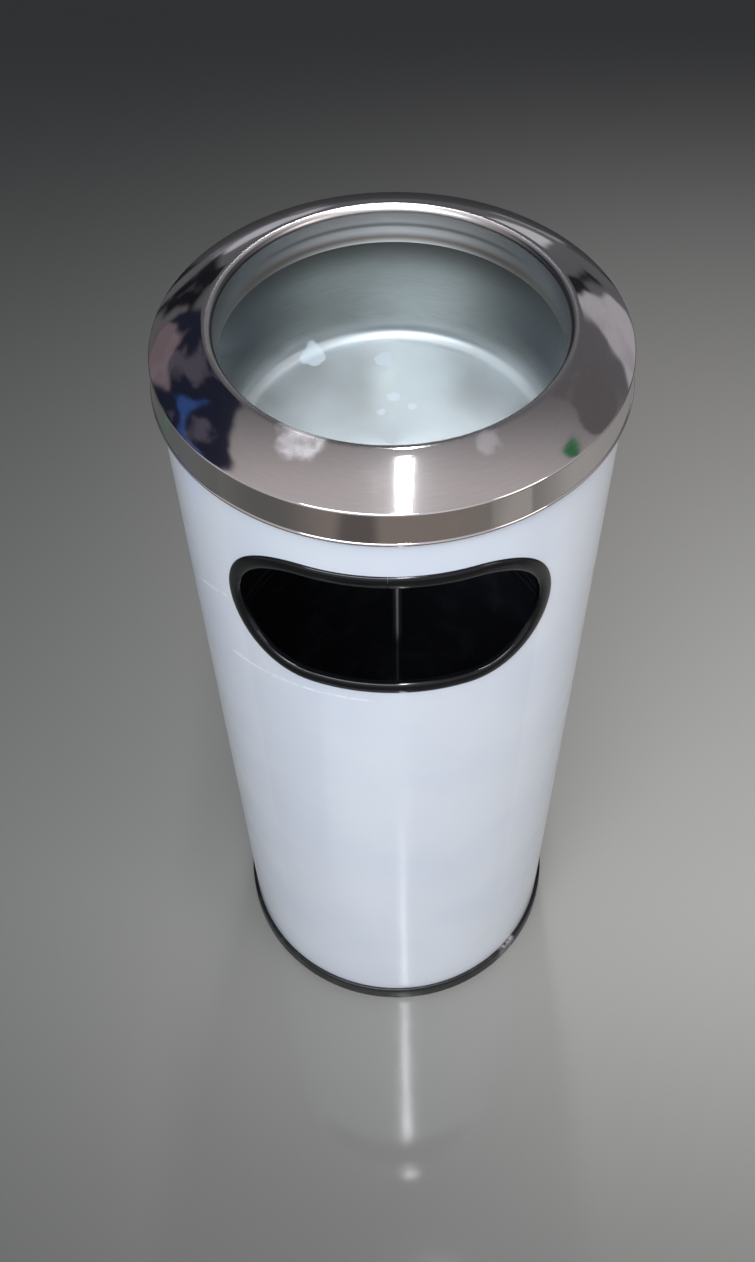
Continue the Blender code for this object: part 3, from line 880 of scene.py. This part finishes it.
SCREW_CIRCLE = 106.0  # radius of the circle through the four screws
one_screw = screw()
reach = SCREW_CIRCLE * math.cos(math.radians(45)) * MM
pairs = [
    grown(
        "pair",
        rows,
        Piece=one_screw,
        Count=2,
        Start=(-reach, side * reach, 0),
        Step=(2 * reach, 0, 0),
        Turn=(0, 0, 0.4 * side),
        Finish=zinc,
    )
    for side in (-1, 1)
]
screws = join("base_screws", pairs)
corners = ("front_left", "front_right", "rear_left", "rear_right")
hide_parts(*(f"base_screw_{corner}" for corner in corners))
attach(screws, "bin")
print("screw faces:", len(screws.data.polygons))

# %% [markdown]
# ## The lid: polished ring and ash bowl
#
# The ring is pressed from one sheet. From the outside in it has a bead at the skirt's edge, a
# straight skirt, a tight crease, a gently domed slope, a rolled lip, and a short collar that ends
# in another bead. The bowl is deep drawn. Its flange lies on the tube's top under the ring, which
# clamps it. Both are plain turned shapes, and what matters is that each bend is a true arc,
# because a mirror finish shows every kink.


# %% Press the ring and draw the bowl
def lid_ring_outline():
    crease, bend = (124.0, 595.4), 1.6
    lip, roll = (95.5, 606.0), 4.0
    outer = arc(crease, bend, 0, 59, 10)
    rolled = arc(lip, roll, 73, 180, 22)
    outline = arc((126.3, 577.2), 1.2, 180, 425, 20)
    outline += outer + bulge(outer[-1], rolled[0], 0.95, 24) + rolled
    outline += arc((92.5, 587.4), 1.0, 180, 380, 14)
    back = arc(lip, roll - SHEET, 180, 73, 16)
    under = arc(crease, bend - SHEET, 59, 0, 6)
    outline += [(92.3, 588.6)] + back + bulge(back[-1], under[0], -0.95, 12) + under
    return outline


def bowl_outline():
    mouth, foot = (101.0, 594.6), (85.6, BOWL_FLOOR + 9)
    outline = [(121.2, 597.6)] + arc(mouth, 3.0, 90, 180, 10)
    outline += bulge((98.0, 594.6), (94.6, BOWL_FLOOR + 9), 0.25, 8)
    outline += arc(foot, 9.0, 0, -90, 20) + [(60, BOWL_FLOOR - 0.1), (0, BOWL_FLOOR)]
    outline += [(0, BOWL_FLOOR - SHEET), (60, BOWL_FLOOR - SHEET - 0.1)]
    outline += arc(foot, 9.0 + SHEET, -90, 0, 20)
    return outline + arc(mouth, 2.2, 180, 90, 8) + [(121.2, 596.8)]


lid_ring = turned("lid_ring_pressing", lid_ring_outline(), polished, steps=288)
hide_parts("lid_ring")
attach(lid_ring, "lid")

ash_bowl = turned("ash_bowl_drawing", bowl_outline()[::-1], satin, steps=240)
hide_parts("ash_bowl")
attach(ash_bowl, "lid")
print("lid faces:", len(lid_ring.data.polygons) + len(ash_bowl.data.polygons))

# %% [markdown]
# ## The pail
#
# The pail is a rolled wall with a wired bead round its rim, a bottom pressed into it, and a lap
# seam at the back. The wall and the bottom are turned like the tube. Only the lap is a strip of
# its own.


# %% Roll the pail
PAIL, PAIL_SHEET = 112.0, 0.6


def pail_outline():
    """The wall from its foot up, with two stiffening ribs and a wired bead at the rim."""
    inner, bead, wire = PAIL - PAIL_SHEET, (113.4, 382.7), 2.3
    start = -180 + math.degrees(math.acos((bead[0] - PAIL) / wire))
    end = 180 + math.degrees(math.acos((bead[0] - inner) / wire))
    outer = [(PAIL, 4.7)]
    for rib in (319.0, 327.0):
        for t in range(180, -1, -20):
            swell = 0.9 * math.sin(math.radians(t))
            outer.append((PAIL + swell, rib + 3 - 3 * t / 180))
    inside = [(r - PAIL_SHEET, z) for r, z in outer[::-1]]
    return outer + arc(bead, wire, start, end, 26) + inside


pail_wall = turned("pail_wall", pail_outline(), enamel, steps=240, gap=0.2)
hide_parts("liner_wall")
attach(pail_wall, "liner")

lap_enamel_worn_and_highlit = black_enamel(worn=True)
lap_outer = PAIL - PAIL_SHEET - 0.02
lap = curved_strip("pail_lap_seam", lap_enamel_worn_and_highlit, PAIL - 2 * PAIL_SHEET, lap_outer, 2.6, 14.0, 316.0)
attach(lap, "liner")


def pail_bottom_outline():
    top = [(0, 10.8), (70, 10.8), (73, 9.9), (77, 9.9), (80, 10.8)]
    top += arc((109.9, 9.8), 1.0, 90, 0, 5) + [(110.9, 5.2)]
    under = [(0, 10.2), (70, 10.2), (73.2, 9.3), (76.8, 9.3), (80, 10.2)]
    return top + (under + arc((109.9, 9.8), 0.4, 90, 0, 3) + [(110.3, 5.2)])[::-1]


pail_bottom = turned("pail_bottom", pail_bottom_outline()[::-1], enamel, steps=144)
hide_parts("liner_bottom")
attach(pail_bottom, "liner")
print("pail faces:", len(pail_wall.data.polygons) + len(pail_bottom.data.polygons))


# %% [markdown]
# ## Ears and rivets
#
# Each ear is a strip of flat steel with a round head and a punched hole. It could be a bevelled
# curve, but an outline with a Boolean hole and a small Bevel is how it is really made. Two rivets
# hold it, and they are laid by the same tree of rows as the welds.

# %% Cut the ears and set their rivets
PIVOT = 391.0


def ear(name, side):
    """A flat steel ear with a round head and a hole, its edges broken by a small bevel."""
    outline = [(-11, 350), (11, 350)] + arc((0, PIVOT - 5), 11, 0, 180, 24)
    bm = bmesh.new()
    faces = []
    for x in (108.5, 110.0):
        faces.append([bm.verts.new((side * x, y, z)) for y, z in outline])
    bridge(bm, faces)
    made = finish_mesh(bm, name, zinc)
    drill = bmesh.new()
    bmesh.ops.create_cone(drill, cap_ends=True, segments=32, radius1=2.45, radius2=2.45, depth=8)
    bmesh.ops.rotate(drill, matrix=Matrix.Rotation(math.radians(90), 3, "Y"), verts=drill.verts)
    bmesh.ops.translate(drill, vec=(side * 109.25, 0, PIVOT), verts=drill.verts)
    cut_away(made, finish_mesh(drill, "drill"))
    edge = made.modifiers.new("edge", "BEVEL")
    edge.width = 0.3 * MM
    edge.segments = 2
    edge.limit_method = "ANGLE"
    apply_modifiers(made)
    tidy_normals(made)
    return made


def rivet():
    """A rivet along Z, its domed head below and its flat head above the ear's face."""
    dome = [(4.0 * c, -0.1 - 1.6 * s) for c, s in arc((0, 0), 1, 90, 0, 8)]
    outline = dome + [(1.9, -0.1), (1.9, 3.9), (3.8, 3.9), (3.6, 4.5), (3.0, 4.75), (0, 4.8)]
    return finish_mesh(spun(outline, 28), "rivet", zinc)


one_rivet = rivet()
for side, word in ((1, "right"), (-1, "left")):
    plate = ear(f"pail_ear_{word}", side)
    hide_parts(f"liner_ear_{word}")
    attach(plate, "liner")
    pair = grown(
        f"pail_rivets_{word}",
        rows,
        Piece=one_rivet,
        Count=2,
        Start=(side * 108.5 * MM, 0, 358 * MM),
        Step=(0, 0, 14 * MM),
        Turn=(0, math.radians(90 * side), 0),
        Finish=zinc,
    )
    tidy_normals(pair)
    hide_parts(f"liner_rivet_{word}_lower", f"liner_rivet_{word}_upper")
    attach(pair, "liner")
for used in (mark, one_screw, one_rivet):
    bpy.data.objects.remove(used)


# %% [markdown]
# ## The bail and its grip
#
# The bail is bent from one length of wire. A bevelled curve would do for the wire, but the grip
# changes in thickness along its way, so both are bars that take a radius at each point.

# %% Bend the bail and thread its sleeve
def tube_along(name, points, radii, material, sides=20):
    """A round bar through points in mm, with its own radius at each point and closed ends."""
    bm = bmesh.new()
    rings = []
    for i, point in enumerate(points):
        before, after = points[max(i - 1, 0)], points[min(i + 1, len(points) - 1)]
        way = (after - before).normalized()
        level = Vector((0, 0, 1)) if abs(way.z) < 0.9 else Vector((0, 1, 0))
        side = way.cross(level).normalized()
        up = side.cross(way)
        ring = []
        for j in range(sides):
            turn = math.tau * j / sides
            offset = side * math.cos(turn) + up * math.sin(turn)
            ring.append(bm.verts.new(point + offset * radii[i]))
        rings.append(ring)
    bridge(bm, rings)
    return finish_mesh(bm, name, material, crease=50)


BOW, WIRE, GRIP, GRIP_SPAN = 113.0, 2.0, 5.5, 20  # radii in mm, and half the grip's angle


def bail_points():
    """The wire's middle line: hook, through the ear, a bend, and the bow round the back."""
    bend = 3.0
    hook = [(104, 0, -6), (104, 0, -4), (104, 0, -2.5)]
    hook += [(105.5 - 1.5 * math.cos(t), 0, -1.5 + 1.5 * math.sin(t)) for t in (0.4, 0.9, 1.57)]
    turn = [(x, y, 0) for x, y in arc((BOW - bend, bend), bend, -90, 0, 6)]
    first = math.degrees(math.asin(bend / BOW))
    half = hook + turn + [(x, y, 0) for x, y in arc((0, 0), BOW, first, 90, 48)][1:]
    whole = half + [(-x, y, z) for x, y, z in half[-2::-1]]
    return [Vector((x, y, z + PIVOT)) for x, y, z in whole]


wire = bail_points()
bail = tube_along("bail_wire", wire, [WIRE] * len(wire), zinc, 16)
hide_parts("liner_handle")
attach(bail, "handle")

STEPS = 40
grip_line, grip_radii = [], []
for i in range(STEPS + 1):
    turn = math.radians(90 + GRIP_SPAN * (2 * i / STEPS - 1))
    grip_line.append(Vector((BOW * math.cos(turn), BOW * math.sin(turn), PIVOT)))
    from_end = min(i, STEPS - i) / 3
    rounded = GRIP if from_end >= 1 else 2.6 + 2.9 * math.sqrt(1 - (1 - from_end) ** 2)
    grip_radii.append(rounded - 0.35 * (4 < i < STEPS - 4 and i % 4 == 2))
grip = tube_along("bail_grip", grip_line, grip_radii, grip_plastic, 28)
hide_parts("handle_grip")
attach(grip, "handle")
print("wire points:", len(wire), "grip points:", len(grip_line))

# %% [markdown]
# ## Floor
#
# The bin stands on plain pale glazed tile. It has a slight gloss, so lamps show in it as sharp
# streaks. Shade is painted into the tile's colour as slow changes of grey: darker to the left,
# just in front of the bin and far behind it. Cards in brown, blue and green lie out of sight
# round it, because the ring's skirt mirrors the floor.


# %% Lay the floor
def stage_floor():
    bm = bmesh.new()
    bmesh.ops.create_grid(bm, x_segments=1, y_segments=1, size=6000)
    material, node, shader, place = new_material("glazed_tile_pale_grey", Roughness=0.06, IOR=1.5)
    axes = node("SeparateXYZ", place).outputs
    cloud = node("TexNoise", place, lumps(420), 2.0)
    tile = node("Mix", cloud, colour("#9A9994"), colour("#A09F9A"), **BLEND)
    # painted shade: the tile turns darker to the left, just in front of the bin and far behind it
    # (axis, where the shade starts, where it is full, its share, its colour)
    shades = (
        (0, 0.45, -0.6, 1.0, "#656763"),
        (1, 0.0, -0.42, 0.6, "#3F403E"),
        (1, -0.05, 1.5, 1.0, "#2A2B2B"),
    )
    for axis, start, full, share, tint in shades:
        fade = node("MapRange", axes[axis], start, full, 0.0, share, **SMOOTH)
        tile = node("Mix", fade, tile, colour(tint), **BLEND)
    finish_shader(shader, Base_Color=tile)
    finish_mesh(bm, "floor", material)


def stage_card(name, place, size, tint):
    """An oval card on the floor with a soft edge, which only mirrors and gloss can see."""
    bm = bmesh.new()
    bmesh.ops.create_circle(bm, cap_ends=True, segments=40, radius=0.5)
    bmesh.ops.scale(bm, vec=(*size, 1), verts=bm.verts)
    bmesh.ops.translate(bm, vec=place, verts=bm.verts)
    material, node, shader, spot = new_material(f"{name}_paper", Roughness=0.8)
    middle = tuple(value * MM for value in place)
    half = (size[0] / 2 * MM, size[1] / 2 * MM, 1)
    centred = node("Mapping", spot, middle, (0, 0, 0), half, vector_type="TEXTURE")
    off = node("VectorMath", centred, operation="LENGTH")
    solid = node("MapRange", off, 1.0, 0.6, **SMOOTH)
    finish_shader(shader, Base_Color=colour(tint), Alpha=solid)
    card = finish_mesh(bm, name, material)
    card.visible_camera = card.visible_diffuse = card.visible_shadow = False


stage_floor()
stage_card("brown_card", (100, -1100, 1), (3000, 1370), "#6E655E")
stage_card("dark_card", (-175, -640, 2), (330, 560), "#463F3C")
stage_card("blue_card", (-640, 190, 1), (130, 200), "#2450A0")
stage_card("green_card", (-690, 420, 1), (160, 160), "#1F8A54")

# %% [markdown]
# ## Lamps
#
# A long narrow lamp hangs over the bin and runs towards the viewer, and polished steel shows it
# as one bright streak. Wide soft panels in front and at the right fill the paint with even light.


# %% Hang the lamps
VIEW_TURN = 2.45  # degrees: the viewer stands this far round to the right of the opening's middle
ROOM = Matrix.Rotation(math.radians(VIEW_TURN), 4, "Z")


def lamp(name, place, aim, size, power, tint):
    """A rectangular soft light that points from its place at aim."""
    data = bpy.data.lights.new(name, "AREA")
    data.shape = "RECTANGLE"
    data.size, data.size_y = size
    data.energy = power
    data.color = colour(tint)[:3]
    made = bpy.data.objects.new(name, data)
    facing = (Vector(aim) - Vector(place)).to_track_quat("-Z", "Y")
    made.matrix_world = ROOM @ Matrix.LocRotScale(Vector(place), facing, None)
    bpy.context.scene.collection.objects.link(made)


LAMP_X, LAMP_HEIGHT = 0.09, 2.5
for name, near, far in (("tube_front", -1.55, 0.07), ("tube_back", 0.42, 1.3)):
    middle, length = (near + far) / 2, far - near
    place = (LAMP_X, middle, LAMP_HEIGHT)
    lamp(name, place, (LAMP_X, middle, 0), (0.075, length), 17 * length, "#F8FBFF")
lamp("front_panel", (-0.6, -1.8, 2.5), (0, 0, 0.3), (1.8, 1.1), 51, "#EEF3FC")
lamp("right_panel", (1.9, -1.35, 1.7), (0.2, 0, 0.1), (0.9, 1.0), 9, "#FFF6F0")


# %% [markdown]
# ## The room that the steel mirrors
#
# The room is drawn in the background shader: pale in front and overhead, darker behind the bin,
# with dark and pale screens round it. Mirror steel has no colour of its own, so without something
# dark to reflect it looks flat. Only reflections and light show the screens: seen directly, the
# room is plain.

# %% Shade the room
def screen(node, turn, rise, ragged, centre, size):
    """1 inside a ragged block of the room. Its centre and size are (turn, rise) in degrees."""
    edges = []
    for value, middle, span in zip((turn, rise), centre, size):
        off = node("Math", value, math.radians(middle), operation="SUBTRACT")
        off = node("Math", node("Math", off, operation="ABSOLUTE"), ragged, operation="ADD")
        half = math.radians(span / 2)
        edges.append(node("MapRange", off, half + 0.02, half - 0.02, **SMOOTH))
    return node("Math", *edges, operation="MULTIPLY")


SCREENS = (
    ((-61, 31), (60, 38), "#1B1F30"),  # (turn from straight behind, rise), size, colour
    ((-68, 34), (20, 7), "#34508C"),
    ((-44, 18), (16, 12), "#75686E"),
    ((-15, 3), (14, 9), "#C2C2CC"),
    ((-25, 9), (16, 20), "#101317"),
    ((28, 11), (7, 18), "#141414"),
    ((45, 13), (26, 18), "#B6B4BA"),
    ((62, 36), (22, 14), "#625E60"),
    ((78, 45), (12, 6), "#2A7046"),
    ((15, 4), (6, 6), "#C8CAD0"),
)


def grey_room():
    world = bpy.data.worlds.new("grey_room")
    world.use_nodes = True
    node = functools.partial(add, world.node_tree)
    way = node("TexCoord").outputs["Generated"]
    axes = node("SeparateXYZ", way).outputs
    turn = node("Math", axes[0], axes[1], operation="ARCTAN2")
    turn = node("Math", turn, math.radians(VIEW_TURN), operation="ADD")
    rise = node("Math", axes[2], operation="ARCSINE")
    ragged = node("Math", node("TexNoise", way, 1 / 0.33, 2.0), 0.4, -0.2, operation="MULTIPLY_ADD")
    speckle = node("TexNoise", way, 1 / 0.17, 3.0)
    speckle = node("MapRange", speckle, 0.52, 0.66, 0.0, 0.3, **SMOOTH)
    depth = node("MapRange", axes[1], -0.25, 0.58, **SMOOTH)
    plain = node("Mix", depth, colour("#C4BEC1"), colour("#606064"), **BLEND)
    front = node("MapRange", axes[1], -0.45, -0.95, **SMOOTH)
    plain = node("Mix", front, plain, colour("#E8EAF2"), **BLEND)
    shade = plain
    for centre, size, tint in SCREENS:
        mottled = node("Mix", speckle, colour(tint), colour("#8C8494"), **BLEND)
        block = screen(node, turn, rise, ragged, centre, size)
        shade = node("Mix", block, shade, mottled, **BLEND)
    seen = node("LightPath").outputs["Is Camera Ray"]
    shade = node("Mix", seen, shade, plain, **BLEND)
    plug(shade, world.node_tree.nodes["Background"].inputs["Color"])
    return world


bpy.context.scene.world = grey_room()
bpy.context.scene.view_settings.view_transform = "Standard"
print("screens in the room:", len(SCREENS))

# %% [markdown]
# ## Camera
#
# The camera stands over the bin and looks steeply down, tilted a little to one side as in the
# hand.

# %% Place the camera
CAMERA_PLACE = ROOM @ Vector((-0.0096, -0.5129, 1.0252))
CAMERA_AIM = ROOM @ Vector((-0.0114, 0.0281, 0.3042))
CAMERA_ROLL = -1.56
view = bpy.data.objects.new("camera", bpy.data.cameras.new("camera"))
view.data.lens = 35.89
view.data.clip_start = 0.01
view.location = CAMERA_PLACE
level = (CAMERA_AIM - CAMERA_PLACE).to_track_quat("-Z", "Y")
view.rotation_mode = "QUATERNION"
view.rotation_quaternion = level @ Quaternion((0, 0, 1), math.radians(CAMERA_ROLL))
bpy.context.scene.collection.objects.link(view)
bpy.context.scene.camera = view
print("camera looks down by degrees:", round(90 - math.degrees(level.to_euler().x), 1))

# %% [markdown]
# ## Finish
#
# The last cell brings the scene up to date.

# %% Finish
bpy.context.view_layer.update()
